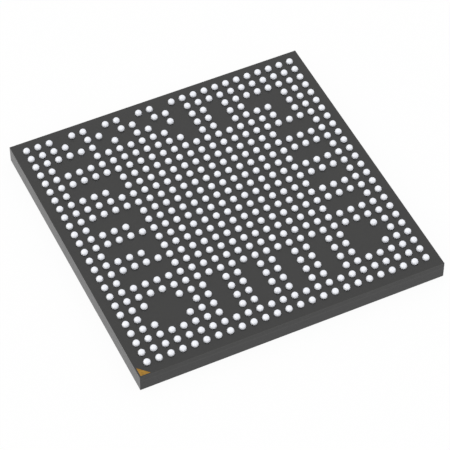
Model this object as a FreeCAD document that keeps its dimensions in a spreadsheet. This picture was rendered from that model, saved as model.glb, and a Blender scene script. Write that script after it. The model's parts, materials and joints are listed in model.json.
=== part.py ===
import FreeCAD, Part
import math
import os
import Sketcher

# Ball grid array package, 17 mm square and 1 mm thick under its balls. It lies on its moulded face
# with the solder balls up. The origin is the centre of the moulded face. +Z points from there to
# the balls, +X from column 1 to column 25, and +Y from row A to row AE. Ball A1 is at -X -Y,
# beside the gold corner mark. All sizes are in millimetres.

# Driving dimensions: name, value, meaning. The package's outline follows from the ball grid and
# its margins, and the mould cap's thickness from the die and what lies under and over it.
SIZES = [
    ("ball_pitch", 0.65, "ball centre to ball centre, both ways"),
    ("margin_x", 0.7, "centres of columns 1 and 25 to the sawn edges"),
    ("margin_y", 0.7, "centres of rows A and AE to the sawn edges"),
    ("ball_diameter", 0.38, "widest part of a ball"),
    ("ball_height", 0.24, "ball tip above the solder mask"),
    ("mask_thickness", 0.02, "one film of solder mask"),
    ("ply_thickness", 0.06, "build-up ply over a copper plane"),
    ("copper_thickness", 0.018, "one copper plane"),
    ("core_thickness", 0.154, "glass cloth and resin core"),
    ("plane_edge_gap", 0.2, "copper plane to the sawn edge of the package"),
    ("mark_leg", 0.55, "each short side of the gold corner mark"),
    ("mark_edge_gap", 0.08, "corner mark to each sawn edge"),
    ("mark_thickness", 0.014, "gold-plated copper of the corner mark"),
    ("die_length", 8.2, "silicon die, X"),
    ("die_width", 7.6, "silicon die, Y"),
    ("die_thickness", 0.3, "silicon die"),
    ("die_gap", 0.07, "die to substrate, filled by the underfill"),
    ("mould_over_die", 0.28, "mould compound between the die and the moulded face"),
    ("underfill_reach", 0.45, "underfill beyond the die, at its foot on the substrate"),
    ("underfill_lip", 0.05, "underfill beyond the die, at its lip"),
    ("die_side_bare", 0.14, "part of the die's sides that the underfill leaves bare"),
    ("dot_diameter", 0.9, "corner dot in the moulded face"),
    ("dot_depth", 0.03, "corner dot in the moulded face"),
    ("dot_inset", 1.4, "corner dot's centre to each sawn edge"),
]

# The lettered rows, in the order that ball grids use, which leaves out I, O, Q, S, X and Z.
ROWS = "A B C D E F G H J K L M N P R T U V W Y AA AB AC AD AE".split()
COLUMNS = 25

# Sites without a ball: rows, and the columns that are empty in each of them. They leave room for
# the substrate's vias, in channels that run in from each side and a field near each corner.
EMPTY_SITES = [
    # Channels from row A's side, and the two fields at its corners.
    ("C D E F", (9, 12, 15, 18)),
    ("D F", (4, 5, 21, 22)),
    ("E", (3, 4, 5, 6, 21, 22, 23)),
    # Channels from column 1's side.
    ("J M R W", (3, 4, 5, 6)),
    ("L P V", (6,)),
    # Channels from column 25's side.
    ("J M R V", (21, 22, 23)),
    # The two fields at row AE's corners.
    ("AB", (3, 4, 5, 20, 21, 22)),
    ("Y AA", (22,)),
    # Slanting channels from row AE's side.
    ("AE", (4, 7, 10, 13)),
    ("AD", (5, 8, 11, 14)),
    ("AC", (7, 9, 12, 14, 17)),
    ("AB", (13, 14, 17)),
    ("AA", (14, 17)),
]

# Each ball is a dome of flat facets, whose corners lie on the ball's sphere: a foot ring on the
# mask, a waist ring at its own latitude, turned by half a facet, and the tip.
BALL_SIDES = 6
WAIST_LATITUDE = math.radians(32)

# Each dimension in a sketch starts at this many millimetres, until its expression sets it.
START = 1.0

# Expressions that more than one piece shares.
LENGTH = f"{COLUMNS - 1} * Sizes.ball_pitch + 2 * Sizes.margin_x"
WIDTH = f"{len(ROWS) - 1} * Sizes.ball_pitch + 2 * Sizes.margin_y"
PLANE_LENGTH = f"{LENGTH} - 2 * Sizes.plane_edge_gap"
PLANE_WIDTH = f"{WIDTH} - 2 * Sizes.plane_edge_gap"
DIE_DEPTH = "Sizes.die_gap + Sizes.die_thickness"
CAP_THICKNESS = f"{DIE_DEPTH} + Sizes.mould_over_die"
UNDERFILL_HEIGHT = f"{DIE_DEPTH} - Sizes.die_side_bare"
UNDERFILL_CLIMB = "Sizes.die_thickness - Sizes.die_side_bare"


def make_sheet(doc):
    """The spreadsheet of driving dimensions, one alias for each."""
    sheet = doc.addObject("Spreadsheet::Sheet", "Sizes")
    for line, (name, value, meaning) in enumerate(SIZES, start=1):
        sheet.set(f"A{line}", meaning)
        sheet.set(f"B{line}", str(value))
        sheet.setAlias(f"B{line}", name)
    doc.recompute()
    return sheet


def origin_plane(body, role):
    """One of a body's own origin planes."""
    return next(p for p in body.Origin.OriginFeatures if p.Role == role)


def new_body(doc, label, height="0 mm"):
    """An empty body whose underside lies at the given height, an expression."""
    body = doc.addObject("PartDesign::Body", label)
    body.Label = label
    body.setExpression("Placement.Base.z", height)
    return body


def new_sketch(body, name, height="0 mm"):
    """A sketch parallel to the body's base plane, at a height given by an expression."""
    sketch = body.newObject("Sketcher::SketchObject", name)
    sketch.AttachmentSupport = [(origin_plane(body, "XY_Plane"), "")]
    sketch.MapMode = "FlatFace"
    sketch.setExpression("AttachmentOffset.Base.z", height)
    return sketch


def bind(sketch, constraint, name, expression):
    """Adds a dimension to a sketch and ties it to an expression on the sheet."""
    index = sketch.addConstraint(constraint)
    sketch.renameConstraint(index, name)
    sketch.setExpression(f"Constraints.{name}", expression)


def close_loop(sketch, points):
    """Straight lines through the points, joined end to end."""
    count = len(points)
    for k in range(count):
        line = Part.LineSegment(points[k], points[(k + 1) % count])
        sketch.addGeometry(line, False)
    for k in range(count):
        sketch.addConstraint(Sketcher.Constraint("Coincident", k, 2, (k + 1) % count, 1))


def centred_rectangle(body, name, length, width, height="0 mm"):
    """A rectangle centred on the body's axis, its sides tied to two expressions."""
    sketch = new_sketch(body, name, height)
    corners = [(-0.5, -0.5), (0.5, -0.5), (0.5, 0.5), (-0.5, 0.5)]
    close_loop(sketch, [FreeCAD.Vector(x, y, 0) * START for x, y in corners])
    for side in (0, 2):
        sketch.addConstraint(Sketcher.Constraint("Horizontal", side))
        sketch.addConstraint(Sketcher.Constraint("Vertical", side + 1))
    sketch.addConstraint(Sketcher.Constraint("Symmetric", 0, 1, 2, 1, -1, 1))
    bind(sketch, Sketcher.Constraint("DistanceX", 0, 1, 0, 2, START), "length", length)
    bind(sketch, Sketcher.Constraint("DistanceY", 1, 1, 1, 2, START), "width", width)
    return sketch


def place_near_a1(sketch, point, inset):
    """Holds a point of the sketch's first line at one distance from both edges beside ball A1."""
    from_x = f"({LENGTH}) / 2 - {inset}"
    from_y = f"({WIDTH}) / 2 - {inset}"
    bind(sketch, Sketcher.Constraint("DistanceX", 0, point, -1, 1, START), "from_x", from_x)
    bind(sketch, Sketcher.Constraint("DistanceY", 0, point, -1, 1, START), "from_y", from_y)


def corner_triangle(body, name, height="0 mm"):
    """The right-angled triangle of the corner mark, its legs along the two edges at ball A1."""
    sketch = new_sketch(body, name, height)
    corners = [(-1, -1), (0, -1), (-1, 0)]
    close_loop(sketch, [FreeCAD.Vector(x, y, 0) * START for x, y in corners])
    sketch.addConstraint(Sketcher.Constraint("Horizontal", 0))
    sketch.addConstraint(Sketcher.Constraint("Vertical", 2))
    bind(sketch, Sketcher.Constraint("DistanceX", 0, 1, 0, 2, START), "leg_x", "Sizes.mark_leg")
    bind(sketch, Sketcher.Constraint("DistanceY", 2, 2, 2, 1, START), "leg_y", "Sizes.mark_leg")
    place_near_a1(sketch, 1, "Sizes.mark_edge_gap")
    return sketch


def pad(body, sketch, name, thickness):
    """Raises a sketch by a thickness, an expression."""
    feature = body.newObject("PartDesign::Pad", name)
    feature.Profile = sketch
    feature.setExpression("Length", thickness)
    return feature


def pocket(body, sketch, name, depth, upwards=False):
    """Sinks a sketch into the body by a depth, an expression: down, or up from its underside."""
    feature = body.newObject("PartDesign::Pocket", name)
    feature.Profile = sketch
    feature.Reversed = upwards
    feature.setExpression("Length", depth)
    return feature


def slab(doc, label, length, width, thickness, height):
    """A plain rectangular sheet or block, centred on the package's axis."""
    block = doc.addObject("Part::Box", label)
    block.Label = label
    block.setExpression("Length", length)
    block.setExpression("Width", width)
    block.setExpression("Height", thickness)
    block.setExpression("Placement.Base.x", f"-({length}) / 2")
    block.setExpression("Placement.Base.y", f"-({width}) / 2")
    block.setExpression("Placement.Base.z", height)
    return block


def die_outline(body, name, height="0 mm"):
    """The die's outline at one height."""
    return centred_rectangle(body, name, "Sizes.die_length", "Sizes.die_width", height)


def underfill_outline(body, name, margin, height):
    """The underfill's outline at one height: the die's own outline, wider all round by a margin."""
    length = f"Sizes.die_length + 2 * {margin}"
    width = f"Sizes.die_width + 2 * {margin}"
    return centred_rectangle(body, name, length, width, height)


def make_mould_cap(doc):
    """Mould compound: a block with straight sawn sides, hollow where it holds die and underfill."""
    cap = new_body(doc, "mould_cap")
    pad(cap, centred_rectangle(cap, "CapOutline", LENGTH, WIDTH), "CapBlock", CAP_THICKNESS)
    lip_height = f"{CAP_THICKNESS} - ({UNDERFILL_HEIGHT})"
    foot = underfill_outline(cap, "HollowFoot", "Sizes.underfill_reach", CAP_THICKNESS)
    lip = underfill_outline(cap, "HollowLip", "Sizes.underfill_lip", lip_height)
    hollow = cap.newObject("PartDesign::SubtractiveLoft", "UnderfillHollow")
    hollow.Profile = foot
    hollow.Sections = [lip]
    hollow.Ruled = True
    pocket(cap, die_outline(cap, "DieHollowOutline", CAP_THICKNESS), "DieHollow", DIE_DEPTH)
    pocket(cap, corner_dot(cap), "CornerDot", "Sizes.dot_depth", upwards=True)
    return cap


def corner_dot(cap):
    """The circle of the dot that marks the A1 corner on the moulded face."""
    sketch = new_sketch(cap, "DotOutline")
    centre = FreeCAD.Vector(-1, -1, 0) * START
    sketch.addGeometry(Part.Circle(centre, FreeCAD.Vector(0, 0, 1), START / 2), False)
    bind(sketch, Sketcher.Constraint("Diameter", 0, START), "across", "Sizes.dot_diameter")
    place_near_a1(sketch, 3, "Sizes.dot_inset")
    return sketch


def make_underfill(doc):
    """Resin under the die and up its sides, in a frustum that widens towards the substrate."""
    underfill = new_body(doc, "underfill", f"{CAP_THICKNESS} - ({UNDERFILL_HEIGHT})")
    lip = underfill_outline(underfill, "Lip", "Sizes.underfill_lip", "0 mm")
    foot = underfill_outline(underfill, "Foot", "Sizes.underfill_reach", UNDERFILL_HEIGHT)
    fill = underfill.newObject("PartDesign::AdditiveLoft", "Fill")
    fill.Profile = lip
    fill.Sections = [foot]
    fill.Ruled = True
    seat = die_outline(underfill, "DieSeatOutline")
    pocket(underfill, seat, "DieSeat", UNDERFILL_CLIMB, upwards=True)
    return underfill


def make_die(doc):
    """The silicon die, its circuit side towards the substrate."""
    length, width, thickness = "Sizes.die_length", "Sizes.die_width", "Sizes.die_thickness"
    return slab(doc, "silicon_die", length, width, thickness, "Sizes.mould_over_die")


def make_ply(doc, label, height, plane_above):
    """A build-up ply, with a shallow seat for the copper plane on the core's side of it."""
    ply = new_body(doc, label, height)
    thickness = "Sizes.ply_thickness + Sizes.copper_thickness"
    pad(ply, centred_rectangle(ply, "PlyOutline", LENGTH, WIDTH), "Ply", thickness)
    seat_height = thickness if plane_above else "0 mm"
    seat = centred_rectangle(ply, "PlaneSeatOutline", PLANE_LENGTH, PLANE_WIDTH, seat_height)
    pocket(ply, seat, "PlaneSeat", "Sizes.copper_thickness", upwards=not plane_above)
    return ply


def make_ball_side_mask(doc, height):
    """The film of solder mask that carries the balls, with a window over the corner mark."""
    mask = new_body(doc, "solder_mask_ball_side", height)
    thickness = "Sizes.mask_thickness"
    pad(mask, centred_rectangle(mask, "FilmOutline", LENGTH, WIDTH), "Film", thickness)
    window = corner_triangle(mask, "WindowOutline", thickness)
    pocket(mask, window, "Window", thickness)
    return mask


def make_corner_mark(doc, height):
    """The gold-plated triangle of copper that shows in the mask's window."""
    mark = new_body(doc, "corner_mark", height)
    pad(mark, corner_triangle(mark, "MarkOutline"), "Mark", "Sizes.mark_thickness")
    return mark


def make_substrate(doc):
    """The laminate, from the mould cap up to the balls. Returns its pieces and its top's height."""
    height = CAP_THICKNESS
    pieces = [slab(doc, "solder_mask_die_side", LENGTH, WIDTH, "Sizes.mask_thickness", height)]
    height += " + Sizes.mask_thickness"
    pieces.append(make_ply(doc, "ply_die_side", height, plane_above=True))
    height += " + Sizes.ply_thickness"
    thickness = "Sizes.copper_thickness"
    pieces.append(slab(doc, "copper_plane_die_side", PLANE_LENGTH, PLANE_WIDTH, thickness, height))
    height += " + Sizes.copper_thickness"
    pieces.append(slab(doc, "laminate_core", LENGTH, WIDTH, "Sizes.core_thickness", height))
    height += " + Sizes.core_thickness"
    pieces.append(slab(doc, "copper_plane_ball_side", PLANE_LENGTH, PLANE_WIDTH, thickness, height))
    pieces.append(make_ply(doc, "ply_ball_side", height, plane_above=False))
    height += " + Sizes.copper_thickness + Sizes.ply_thickness"
    pieces.append(make_corner_mark(doc, height))
    pieces.append(make_ball_side_mask(doc, height))
    return pieces, f"{height} + Sizes.mask_thickness"


def ball_ring(radius, height, turn):
    """The corners of one ring of a ball, turned by a share of a facet."""
    step = 2 * math.pi / BALL_SIDES
    angles = [(k + turn) * step for k in range(BALL_SIDES)]
    return [FreeCAD.Vector(radius * math.cos(a), radius * math.sin(a), height) for a in angles]


def flat_face(points):
    """A flat face with straight edges through the points."""
    return Part.Face(Part.makePolygon([*points, points[0]]))


def make_ball(sheet):
    """One solder ball: a sphere cut off where it wets its land, as a dome of flat facets."""
    radius = sheet.ball_diameter / 2
    centre = sheet.ball_height - radius
    waist_height = centre + radius * math.sin(WAIST_LATITUDE)
    foot = ball_ring(math.sqrt(radius**2 - centre**2), 0, 0)
    waist = ball_ring(radius * math.cos(WAIST_LATITUDE), waist_height, 0.5)
    tip = FreeCAD.Vector(0, 0, sheet.ball_height)
    faces = [flat_face(foot)]
    for k in range(BALL_SIDES):
        after = (k + 1) % BALL_SIDES
        faces.append(flat_face([foot[k], foot[after], waist[k]]))
        faces.append(flat_face([foot[after], waist[after], waist[k]]))
        faces.append(flat_face([waist[k], waist[after], tip]))
    ball = Part.Solid(Part.Shell(faces))
    if ball.Volume < 0:
        ball.reverse()
    return ball


def full_columns(row):
    """The columns that hold a ball in one lettered row."""
    empty = {c for rows, columns in EMPTY_SITES if row in rows.split() for c in columns}
    return [c for c in range(1, COLUMNS + 1) if c not in empty]


def make_ball_row(doc, row, ball, pitch, height):
    """The balls of one lettered row, standing on the solder mask."""
    label = f"balls_row_{row.lower()}"
    feature = doc.addObject("Part::Feature", label)
    feature.Label = label
    places = [(column - (COLUMNS + 1) / 2) * pitch for column in full_columns(row)]
    balls = [ball.translated(FreeCAD.Vector(x, 0, 0)) for x in places]
    feature.Shape = Part.makeCompound(balls)
    pitches_from_middle = ROWS.index(row) - (len(ROWS) - 1) / 2
    feature.setExpression("Placement.Base.y", f"{pitches_from_middle} * Sizes.ball_pitch")
    feature.setExpression("Placement.Base.z", height)
    return feature


def check(doc, pieces):
    """Stops the build if a feature failed, a cut took nothing away or a piece isn't sound."""
    for feature in doc.Objects:
        if "Invalid" in feature.State or "Error" in feature.State:
            raise RuntimeError(f"{feature.Label} failed: {feature.State}")
        if feature.TypeId in ("PartDesign::Pocket", "PartDesign::SubtractiveLoft"):
            if feature.Shape.Volume >= feature.BaseFeature.Shape.Volume:
                raise RuntimeError(f"{feature.Label} cuts nothing")
    for piece in pieces:
        if piece.Shape.isNull() or not piece.Shape.isValid() or piece.Shape.Volume <= 0:
            raise RuntimeError(f"{piece.Label} is not a sound solid")


def main():
    doc = FreeCAD.newDocument("BallGridArray")
    sheet = make_sheet(doc)
    substrate, ball_height = make_substrate(doc)
    pieces = [make_mould_cap(doc), make_die(doc), make_underfill(doc), *substrate]
    ball = make_ball(sheet)
    pieces += [make_ball_row(doc, row, ball, sheet.ball_pitch, ball_height) for row in ROWS]
    doc.recompute()
    check(doc, pieces)
    os.makedirs("parts", exist_ok=True)
    for piece in pieces:
        piece.Shape.exportStep(f"parts/{piece.Label}.step")
    print(f"{len(pieces)} pieces, {sum(len(full_columns(row)) for row in ROWS)} balls")


main()
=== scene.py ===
import json
import math

import bmesh
import bpy
from mathutils import Euler, Matrix, Vector


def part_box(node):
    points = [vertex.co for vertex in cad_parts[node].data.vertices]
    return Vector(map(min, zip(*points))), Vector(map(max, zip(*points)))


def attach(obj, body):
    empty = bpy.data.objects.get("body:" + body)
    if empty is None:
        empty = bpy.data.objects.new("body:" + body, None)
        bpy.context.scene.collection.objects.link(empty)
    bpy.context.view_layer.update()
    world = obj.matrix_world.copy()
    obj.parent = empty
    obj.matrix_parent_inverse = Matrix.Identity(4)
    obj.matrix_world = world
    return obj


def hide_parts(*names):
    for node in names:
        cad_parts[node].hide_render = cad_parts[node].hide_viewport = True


bl_info = {
    "name": "Ball Grid Array Package",
    "version": (1, 0, 0),
    "blender": (4, 5, 0),
    "location": "3D View > Sidebar > Package",
    "description": "Solder balls, finishes and studio for a ball grid array chip package",
    "category": "Add Mesh",
}

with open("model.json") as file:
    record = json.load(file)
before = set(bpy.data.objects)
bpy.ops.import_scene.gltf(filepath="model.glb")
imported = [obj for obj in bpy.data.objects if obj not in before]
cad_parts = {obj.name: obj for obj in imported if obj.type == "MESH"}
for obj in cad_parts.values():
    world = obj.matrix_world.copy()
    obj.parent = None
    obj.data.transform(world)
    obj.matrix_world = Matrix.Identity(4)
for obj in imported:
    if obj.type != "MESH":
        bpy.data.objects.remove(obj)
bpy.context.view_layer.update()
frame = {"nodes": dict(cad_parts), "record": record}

# One millimetre and one micrometre in the frame's metres.
MM = 1e-3
UM = 1e-6

BALL_ROWS = [name for name in frame["nodes"] if name.startswith("balls_row_")]
NODE_SLOTS = {part["node"]: part["material_slot"] for part in frame["record"]["subparts"]}


def ball_tips(node):
    """The tips of the balls in one row of the fixed frame, seen from above."""
    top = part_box(node)[1].z
    corners = (v.co for v in frame["nodes"][node].data.vertices)
    return sorted({(round(c.x, 6), round(c.y, 6)) for c in corners if c.z > top - UM})


def ball_diameter():
    """Diameter of the sphere that meets the solder mask in a ball's foot and reaches its tip."""
    low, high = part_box(BALL_ROWS[0])
    foot = ball_tips(BALL_ROWS[0])[0][0] - low.x
    height = high.z - low.z
    return (foot**2 + height**2) / height


def ball_pitch():
    """The smallest distance between two balls of one row."""
    places = [x for x, y in ball_tips(BALL_ROWS[0])]
    return min(after - before for before, after in zip(places, places[1:]))


BALL_DIAMETER = ball_diameter()
BALL_PITCH = ball_pitch()

# Height in millimetres of the cells that tell the balls apart: more than the package's own.
CELL_HEIGHT = 10.0

# Heights in millimetres between which the moulded face's corner dot passes into its floor.
DOT_FLOOR_STARTS = 0.015
DOT_FLOOR_FULL = 0.025

# A face whose normal points down by more than this is a ball's flat foot.
FOOT_NORMAL = -0.99

# Width of the camera's picture in millimetres, which its focal length goes with.
PICTURE_WIDTH = 36.0

# From the package towards the key lamp, along the camera's own axes: right, up and back.
KEY_DIRECTION = Vector((-0.9, -0.12, 0.42))


class Socket:
    """A node's output. Arithmetic with numbers or other sockets adds Math nodes behind it."""

    def __init__(self, nodes, output):
        self.nodes = nodes
        self.output = output

    def __add__(self, other):
        return self.nodes.math("ADD", self, other)

    __radd__ = __add__

    def __sub__(self, other):
        return self.nodes.math("SUBTRACT", self, other)

    def __rsub__(self, other):
        return self.nodes.math("SUBTRACT", other, self)

    def __mul__(self, other):
        return self.nodes.math("MULTIPLY", self, other)

    __rmul__ = __mul__


class Nodes:
    """A node tree that is emptied and then built up, one call for each node."""

    def __init__(self, tree):
        self.tree = tree
        tree.nodes.clear()

    def node(self, kind, settings=None, inputs=None, output=0):
        """Adds a node, applies its settings, then sets or links its sockets."""
        node = self.tree.nodes.new(kind)
        for name, value in (settings or {}).items():
            setattr(node, name, value)
        for name, value in (inputs or {}).items():
            socket = find_socket(node.inputs, name)
            if isinstance(value, Socket):
                self.tree.links.new(value.output, socket)
            else:
                socket.default_value = value
        return Socket(self, find_socket(node.outputs, output)) if node.outputs else None

    def math(self, operation, first, second=0.0, clamp=False):
        """A Math node."""
        settings = {"operation": operation, "use_clamp": clamp}
        return self.node("ShaderNodeMath", settings, {0: first, 1: second})

    def vector(self, operation, first, second):
        """A Vector Math node."""
        return self.node("ShaderNodeVectorMath", {"operation": operation}, {0: first, 1: second})

    def mix(self, factor, first, second):
        """A colour between two colours."""
        inputs = {"Factor": factor, "A": first, "B": second}
        return self.node("ShaderNodeMix", {"data_type": "RGBA"}, inputs, "Result")

    def contrast(self, value, low, high):
        """A value from 0 at low to 1 at high, and no further."""
        inputs = {"Value": value, "From Min": low, "From Max": high}
        return self.node("ShaderNodeMapRange", None, inputs)

    def place(self, stretch=(1.0, 1.0, 1.0)):
        """The place on the package in millimetres, its axes stretched by the given factors."""
        metres = self.node("ShaderNodeTexCoord", output="Object")
        scale = [factor / MM for factor in stretch]
        return self.node("ShaderNodeMapping", None, {"Vector": metres, "Scale": scale})

    def noise(self, place, per_mm, detail=2.0):
        """Soft noise from 0 to 1 with so many lumps to the millimetre."""
        inputs = {"Vector": place, "Scale": per_mm, "Detail": detail}
        return self.node("ShaderNodeTexNoise", None, inputs)

    def bump(self, height, depth, under=None):
        """A normal from a height between 0 and 1 that stands for a depth, on another bump or none."""
        inputs = {"Height": height, "Distance": depth, "Strength": 1.0}
        if under:
            inputs["Normal"] = under
        return self.node("ShaderNodeBump", None, inputs)

    def surface(self, inputs):
        """A Principled surface, as the tree's end."""
        shader = self.node("ShaderNodeBsdfPrincipled", None, inputs)
        self.node("ShaderNodeOutputMaterial", None, {"Surface": shader})


def find_socket(sockets, name):
    """A socket by its number, or the one of that name that the node's settings leave in use."""
    if isinstance(name, int):
        return sockets[name]
    return next(s for s in sockets if s.name == name and s.enabled)


def new_material(name):
    """An empty material and its nodes."""
    material = bpy.data.materials.new(name)
    material.use_nodes = True
    return material, Nodes(material.node_tree)


def shade(colour, factor):
    """A colour made darker or lighter, with an alpha of 1."""
    return [min(part * factor, 1.0) for part in colour[:3]] + [1.0]


def solder_finish(colours):
    """Satin solder: faintly grained, each ball a little duller or brighter than the next."""
    material, nodes = new_material("satin_solder")
    place = nodes.place()
    cell = (BALL_PITCH / MM, BALL_PITCH / MM, CELL_HEIGHT)
    half_cell = [side / 2 for side in cell]
    site = nodes.vector("SNAP", nodes.vector("ADD", place, half_cell), cell)
    ball = nodes.node("ShaderNodeTexWhiteNoise", {"noise_dimensions": "3D"}, {"Vector": site})
    skin = nodes.noise(place, 22.0, 3.0)
    tone = skin * 0.6 + ball * 0.4
    colour = nodes.mix(tone, shade(colours.solder, 0.96), shade(colours.solder, 1.03))
    nodes.surface(
        {
            "Base Color": colour,
            "Metallic": 0.25,
            "Roughness": 0.36 + ball * 0.08 + skin * 0.1,
            "Normal": nodes.bump(nodes.noise(place, 40.0), 0.8 * UM),
        }
    )
    return material


def sawn_streaks(nodes):
    """Fine saw marks that run along a sawn side, as a height from 0 to 1."""
    broad = nodes.noise(nodes.place((0.08, 0.08, 1.0)), 14.0)
    fine = nodes.noise(nodes.place((0.2, 0.2, 1.0)), 45.0)
    return broad * 0.5 + fine * 0.5


def sawn_side(nodes):
    """1 on the package's upright sides, 0 on its level faces."""
    normal = nodes.node("ShaderNodeTexCoord", output="Normal")
    upward = nodes.node("ShaderNodeSeparateXYZ", None, {0: normal}, "Z")
    return nodes.math("LESS_THAN", nodes.math("ABSOLUTE", upward), 0.5)


def solder_mask_finish(colours):
    """Solder mask: a dark, even film with a soft gloss and a fine orange peel, and a painted
    highlight on its sawn edges, drawn paler where the top edge catches light.
    """
    material, nodes = new_material("solder_mask_film")
    place = nodes.place()
    cloud = nodes.noise(place, 0.5, 3.0)
    mottle = nodes.noise(place, 5.0)
    grain = nodes.noise(place, 18.0)
    tone = cloud * 0.3 + mottle * 0.4 + grain * 0.3
    film = nodes.mix(tone, shade(colours.solder_mask, 0.7), shade(colours.solder_mask, 1.34))
    # Painted highlight: the mask's sawn edges are drawn paler, standing in for light caught along the
    # package's top edge.
    painted_edge_highlight = sawn_side(nodes) * (0.5 + grain * 0.5)
    peel = nodes.bump(nodes.noise(place, 5.0, 1.0), 1.2 * UM)
    nodes.surface(
        {
            "Base Color": nodes.mix(painted_edge_highlight, film, shade(colours.solder_mask, 2.2)),
            "Roughness": 0.24 + cloud * 0.06 + mottle * 0.08 + grain * 0.04,
            "Normal": nodes.bump(nodes.noise(place, 30.0), 0.4 * UM, peel),
        }
    )
    return material


def mould_finish(colours):
    """Mould compound: matt as its mould left it, smooth in the dot, saw-marked on its sides."""
    material, nodes = new_material("mould_compound_moulding")
    place = nodes.place()
    height = nodes.node("ShaderNodeSeparateXYZ", None, {0: place}, "Z")
    cloud = nodes.noise(place, 0.7, 3.0)
    grain = nodes.noise(place, 12.0, 4.0)
    side = sawn_side(nodes)
    dot = (1 - side) * nodes.contrast(height, DOT_FLOOR_STARTS, DOT_FLOOR_FULL)
    rough_face = (1 - side) * (1 - dot * 0.8)
    relief = side * sawn_streaks(nodes) + rough_face * nodes.contrast(grain, 0.3, 0.7)
    resin = nodes.mix(relief, shade(colours.mould, 0.65), shade(colours.mould, 1.35))
    # Grains of the silica filler that the saw cut through.
    cut_grains = side * nodes.contrast(nodes.noise(place, 34.0, 0.0), 0.68, 0.78)
    nodes.surface(
        {
            "Base Color": nodes.mix(cut_grains * 0.6, resin, shade(colours.mould, 5.0)),
            "Roughness": 0.42 + cloud * 0.05 + relief * 0.16 - side * 0.22 - dot * 0.2,
            "Specular IOR Level": 0.46,
            "Normal": nodes.bump(relief, 2.0 * UM),
        }
    )
    return material


def laminate_finish(colours):
    """Laminate: dark resin, with the sawn ends of its glass yarns on the sides."""
    material, nodes = new_material("sawn_laminate")
    cloud = nodes.noise(nodes.place(), 0.7, 3.0)
    streaks = sawn_streaks(nodes)
    yarns = nodes.noise(nodes.place((1.0, 1.0, 6.0)), 3.0)
    tone = cloud * 0.2 + streaks * 0.5 + yarns * 0.3
    resin = nodes.mix(tone, shade(colours.laminate, 0.6), shade(colours.laminate, 1.2))
    glass = nodes.contrast(yarns, 0.56, 0.7) * nodes.contrast(streaks, 0.4, 0.6)
    nodes.surface(
        {
            "Base Color": nodes.mix(glass * 0.6, resin, shade(colours.laminate, 3.5)),
            "Roughness": 0.16 + yarns * 0.12 + streaks * 0.18,
            "Specular IOR Level": 0.46,
            "Normal": nodes.bump(streaks, 1.5 * UM),
        }
    )
    return material


def gold_finish(colours):
    """Gold plating: mottled and grained by the rough copper under it."""
    material, nodes = new_material("gold_plating_grain")
    place = nodes.place()
    mottle = nodes.noise(place, 9.0, 3.0)
    tone = nodes.contrast(mottle, 0.35, 0.65)
    nodes.surface(
        {
            "Base Color": nodes.mix(tone, shade(colours.gold, 0.8), shade(colours.gold, 1.2)),
            "Metallic": 1.0,
            "Roughness": 0.4 + mottle * 0.15,
            "Normal": nodes.bump(nodes.noise(place, 45.0), 1.0 * UM),
        }
    )
    return material


def copper_finish(colours):
    """Copper plane: dull foil with a short grain."""
    material, nodes = new_material("copper_foil")
    grain = nodes.noise(nodes.place((1.0, 0.25, 1.0)), 30.0, 3.0)
    stain = nodes.noise(nodes.place(), 0.8, 3.0)
    tone = stain * 0.7 + grain * 0.3
    nodes.surface(
        {
            "Base Color": nodes.mix(tone, shade(colours.copper, 0.8), shade(colours.copper, 1.1)),
            "Metallic": 1.0,
            "Roughness": 0.38 + stain * 0.12,
            "Normal": nodes.bump(grain, 0.8 * UM),
        }
    )
    return material


def silicon_finish(colours):
    """Silicon die: ground on the back in long fine scratches."""
    material, nodes = new_material("ground_silicon")
    scratches = nodes.noise(nodes.place((1.0, 0.02, 1.0)), 60.0)
    cloud = nodes.noise(nodes.place(), 0.6)
    tone = cloud * 0.5 + scratches * 0.5
    colour = nodes.mix(tone, shade(colours.silicon, 0.85), shade(colours.silicon, 1.15))
    nodes.surface(
        {
            "Base Color": colour,
            "Roughness": 0.12 + scratches * 0.1,
            "Normal": nodes.bump(scratches, 0.2 * UM),
        }
    )
    return material


def underfill_finish(colours):
    """Underfill resin: glossy, with the slow waves of a resin that flowed and set."""
    material, nodes = new_material("set_underfill")
    place = nodes.place()
    waves = nodes.noise(place, 1.6)
    specks = nodes.noise(place, 35.0)
    tone = waves * 0.6 + specks * 0.4
    colour = nodes.mix(tone, shade(colours.underfill, 0.8), shade(colours.underfill, 1.2))
    nodes.surface(
        {
            "Base Color": colour,
            "Roughness": 0.14 + specks * 0.08,
            "Normal": nodes.bump(waves, 6.0 * UM),
        }
    )
    return material


FINISHES = {
    "solder": solder_finish,
    "solder_mask": solder_mask_finish,
    "mould_compound": mould_finish,
    "laminate": laminate_finish,
    "gold_plating": gold_finish,
    "copper": copper_finish,
    "silicon": silicon_finish,
    "underfill_resin": underfill_finish,
}


def dress_nodes(slots, colours):
    """Gives the fixed frame's nodes of these slots their finish."""
    for slot in slots:
        material = FINISHES[slot](colours)
        for node in [name for name, its_slot in NODE_SLOTS.items() if its_slot == slot]:
            frame["nodes"][node].material_slots[0].material = material


def make_ball_row(node, sizes, material):
    """The balls of one lettered row: spheres cut off where they meet the solder mask."""
    low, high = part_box(node)
    radius = sizes.ball_diameter / 2
    bm = bmesh.new()
    for x, y in ball_tips(node):
        bmesh.ops.create_uvsphere(
            bm,
            u_segments=sizes.ball_segments,
            v_segments=sizes.ball_rings,
            radius=radius,
            matrix=Matrix.Translation((x, y, high.z - radius)),
        )
    for face in bm.faces:
        face.smooth = True
    bmesh.ops.bisect_plane(
        bm,
        geom=[*bm.verts, *bm.edges, *bm.faces],
        dist=0.01 * UM,
        plane_co=(0, 0, low.z),
        plane_no=(0, 0, 1),
        clear_inner=True,
    )
    feet = [edge for edge in bm.edges if edge.is_boundary]
    bmesh.ops.holes_fill(bm, edges=feet, sides=0)
    bmesh.ops.recalc_face_normals(bm, faces=bm.faces)
    for face in bm.faces:
        if face.normal.z < FOOT_NORMAL:
            face.smooth = False
    piece = add_piece(node.replace("balls_row", "solder_balls"), bm, material)
    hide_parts(node)


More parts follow.
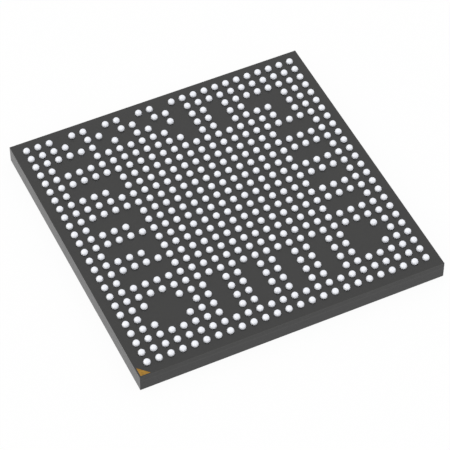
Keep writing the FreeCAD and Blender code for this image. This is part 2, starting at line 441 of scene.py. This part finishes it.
def add_piece(name, bm, material):
    """Puts a finished mesh in the scene, and lets it ride on the package."""
    mesh = bpy.data.meshes.new(name)
    bm.to_mesh(mesh)
    bm.free()
    mesh.materials.append(material)
    piece = bpy.data.objects.new(name, mesh)
    bpy.context.scene.collection.objects.link(piece)
    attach(piece, "root")
    return piece


def colour_property(name, description, default):
    """A colour that a user can change."""
    return bpy.props.FloatVectorProperty(
        name=name, description=description, default=default, subtype="COLOR", min=0.0, max=1.0
    )


class PackageSizes(bpy.types.PropertyGroup):
    """Sizes of the pieces that are modelled here"""

    ball_diameter: bpy.props.FloatProperty(
        name="Ball diameter",
        description="Widest part of a solder ball",
        default=BALL_DIAMETER,
        unit="LENGTH",
        precision=5,
    )
    ball_segments: bpy.props.IntProperty(
        name="Ball segments",
        description="Faces round a solder ball",
        default=12,
        min=6,
        max=24,
    )
    ball_rings: bpy.props.IntProperty(
        name="Ball rings",
        description="Faces from the top to the bottom of a whole ball",
        default=8,
        min=4,
        max=16,
    )


class PackageFinishes(bpy.types.PropertyGroup):
    """Colours of the package's materials"""

    solder: colour_property("Solder", "Tin alloy of the balls", (0.9, 0.92, 0.985))
    solder_mask: colour_property("Solder mask", "Film round the balls", (0.019, 0.019, 0.0185))
    mould: colour_property("Mould compound", "Moulded body", (0.012, 0.012, 0.0123))
    laminate: colour_property("Laminate", "Sawn edge of the substrate", (0.012, 0.012, 0.0117))
    gold: colour_property("Gold plating", "Corner mark", (0.375, 0.208, 0.043))
    copper: colour_property("Copper", "Planes in the substrate", (0.72, 0.33, 0.2))
    silicon: colour_property("Silicon", "Die in the mould compound", (0.16, 0.17, 0.19))
    underfill: colour_property("Underfill", "Resin under the die", (0.03, 0.03, 0.035))


class PackageStage(bpy.types.PropertyGroup):
    """Floor, lights and camera"""

    floor_size: bpy.props.FloatProperty(
        name="Floor size", description="Side of the square floor", default=1.6, unit="LENGTH"
    )
    floor_shadow: bpy.props.FloatProperty(
        name="Floor shadow",
        description="How much of the package's shadow the white floor shows",
        default=0.06,
        subtype="FACTOR",
        min=0.0,
        max=1.0,
    )
    sky_strength: bpy.props.FloatProperty(
        name="Sky strength", description="Light from the white surroundings", default=1.0
    )
    key_strength: bpy.props.FloatProperty(
        name="Key strength", description="Light from the key lamp", default=0.6
    )
    key_colour: colour_property("Key colour", "Faintly warm light", (1.0, 0.95, 0.82))
    key_softness: bpy.props.FloatProperty(
        name="Key softness",
        description="Angle that the key lamp fills",
        default=math.radians(70),
        unit="ROTATION",
    )
    azimuth: bpy.props.FloatProperty(
        name="Azimuth",
        description="Turn of the camera round the package",
        default=math.radians(-25.46),
        unit="ROTATION",
    )
    elevation: bpy.props.FloatProperty(
        name="Elevation",
        description="Height of the camera as an angle",
        default=math.radians(49.10),
        unit="ROTATION",
    )
    distance: bpy.props.FloatProperty(
        name="Distance",
        description="Camera to the point that it looks at",
        default=119 * MM,
        unit="LENGTH",
    )
    target: bpy.props.FloatVectorProperty(
        name="Target",
        description="Point that the camera looks at",
        default=(-0.526 * MM, -1.44 * MM, 1.095 * MM),
        subtype="TRANSLATION",
        precision=6,
    )
    focal_length: bpy.props.FloatProperty(
        name="Focal length",
        description="Focal length in millimetres for a picture 36 mm wide",
        default=184.4,
        unit="CAMERA",
    )


class PACKAGE_OT_solder_balls(bpy.types.Operator):
    """Model the solder balls, one piece for each lettered row"""

    bl_idname = "package.solder_balls"
    bl_label = "Solder Balls"

    def execute(self, context):
        scene = context.scene
        material = solder_finish(scene.package_finishes)
        for node in BALL_ROWS:
            make_ball_row(node, scene.package_sizes, material)
        return {"FINISHED"}


class PACKAGE_OT_substrate(bpy.types.Operator):
    """Finish the substrate: laminate, solder mask, copper planes and the gold corner mark"""

    bl_idname = "package.substrate"
    bl_label = "Substrate"

    def execute(self, context):
        slots = ["laminate", "solder_mask", "copper", "gold_plating"]
        dress_nodes(slots, context.scene.package_finishes)
        return {"FINISHED"}


class PACKAGE_OT_moulding(bpy.types.Operator):
    """Finish the mould cap and what it holds: the die and its underfill"""

    bl_idname = "package.moulding"
    bl_label = "Moulding"

    def execute(self, context):
        slots = ["mould_compound", "silicon", "underfill_resin"]
        dress_nodes(slots, context.scene.package_finishes)
        return {"FINISHED"}


class PACKAGE_OT_stage(bpy.types.Operator):
    """Set up the white floor, the light and the camera"""

    bl_idname = "package.stage"
    bl_label = "Stage"

    def execute(self, context):
        scene = context.scene
        scene.view_settings.view_transform = "Standard"
        make_camera(scene, scene.package_stage)
        make_floor(scene, scene.package_stage)
        make_surroundings(scene, scene.package_stage)
        make_key_lamp(scene, scene.package_stage)
        return {"FINISHED"}


def camera_turn(stage):
    """The camera's rotation: level, and looking down at the package."""
    return Euler((math.pi / 2 - stage.elevation, 0.0, stage.azimuth)).to_matrix()


def make_camera(scene, stage):
    """A long lens that looks down at the balls, with the gold mark's corner nearest to it."""
    camera = bpy.data.cameras.new("camera")
    camera.lens = stage.focal_length
    camera.sensor_width = PICTURE_WIDTH
    camera.clip_start = 1 * MM
    camera.clip_end = 10.0
    turn = camera_turn(stage)
    holder = bpy.data.objects.new("camera", camera)
    place = Vector(stage.target) + turn.col[2] * stage.distance
    holder.matrix_world = Matrix.Translation(place) @ turn.to_4x4()
    scene.collection.objects.link(holder)
    scene.camera = holder


def seen_ray(nodes):
    """1 for the rays that show a surface itself: from the camera, a mirror or through glass."""
    kinds = ("Is Camera Ray", "Is Glossy Ray", "Is Transmission Ray")
    camera, mirrored, refracted = (nodes.node("ShaderNodeLightPath", output=k) for k in kinds)
    return nodes.math("ADD", camera + mirrored, refracted, clamp=True)


def make_floor(scene, stage):
    """A large white floor that shows the package's shadow faintly."""
    bm = bmesh.new()
    bmesh.ops.create_grid(bm, x_segments=1, y_segments=1, size=stage.floor_size / 2)
    mesh = bpy.data.meshes.new("floor")
    bm.to_mesh(mesh)
    bm.free()
    floor = bpy.data.objects.new("floor", mesh)
    scene.collection.objects.link(floor)
    material, nodes = new_material("white_floor")
    paint = nodes.node("ShaderNodeBsdfDiffuse", None, {"Color": (0.9, 0.9, 0.9, 1.0)})
    glow = nodes.node("ShaderNodeEmission", None, {"Color": (1.0, 1.0, 1.0, 1.0)})
    share = seen_ray(nodes) * (1 - stage.floor_shadow)
    surface = nodes.node("ShaderNodeMixShader", None, {0: share, 1: paint, 2: glow})
    nodes.node("ShaderNodeOutputMaterial", None, {"Surface": surface})
    mesh.materials.append(material)


def make_surroundings(scene, stage):
    """Even white light from all round, seen as pure white."""
    world = bpy.data.worlds.new("white_surroundings")
    world.use_nodes = True
    nodes = Nodes(world.node_tree)
    seen = seen_ray(nodes)
    strength = seen + (1 - seen) * stage.sky_strength
    inputs = {"Color": (1.0, 1.0, 1.0, 1.0), "Strength": strength}
    sky = nodes.node("ShaderNodeBackground", None, inputs)
    nodes.node("ShaderNodeOutputWorld", None, {"Surface": sky})
    scene.world = world


def make_key_lamp(scene, stage):
    """A broad, soft and faintly warm lamp, low on the camera's left."""
    lamp = bpy.data.lights.new("key_lamp", "SUN")
    lamp.energy = stage.key_strength
    lamp.angle = stage.key_softness
    lamp.color = stage.key_colour
    key = bpy.data.objects.new("key_lamp", lamp)
    towards_lamp = camera_turn(stage) @ KEY_DIRECTION
    key.rotation_euler = towards_lamp.to_track_quat("Z", "Y").to_euler()
    scene.collection.objects.link(key)


class PACKAGE_PT_sidebar(bpy.types.Panel):
    """The package's pieces and settings"""

    bl_idname = "PACKAGE_PT_sidebar"
    bl_label = "Package"
    bl_space_type = "VIEW_3D"
    bl_region_type = "UI"
    bl_category = "Package"

    def draw(self, context):
        scene = context.scene
        for operator in OPERATORS:
            self.layout.operator(operator.bl_idname)
        for group in (scene.package_sizes, scene.package_finishes, scene.package_stage):
            box = self.layout.box()
            for name in type(group).__annotations__:
                box.prop(group, name)


OPERATORS = (
    PACKAGE_OT_stage,
    PACKAGE_OT_solder_balls,
    PACKAGE_OT_substrate,
    PACKAGE_OT_moulding,
)

CLASSES = (PackageSizes, PackageFinishes, PackageStage, *OPERATORS, PACKAGE_PT_sidebar)


def register():
    for cls in CLASSES:
        bpy.utils.register_class(cls)
    bpy.types.Scene.package_sizes = bpy.props.PointerProperty(type=PackageSizes)
    bpy.types.Scene.package_finishes = bpy.props.PointerProperty(type=PackageFinishes)
    bpy.types.Scene.package_stage = bpy.props.PointerProperty(type=PackageStage)


def unregister():
    del bpy.types.Scene.package_stage
    del bpy.types.Scene.package_finishes
    del bpy.types.Scene.package_sizes
    for cls in reversed(CLASSES):
        bpy.utils.unregister_class(cls)


def main():
    """Builds the package and its stage."""
    register()
    bpy.ops.package.stage()
    bpy.ops.package.solder_balls()
    bpy.ops.package.substrate()
    bpy.ops.package.moulding()


if __name__ == "__main__":
    main()
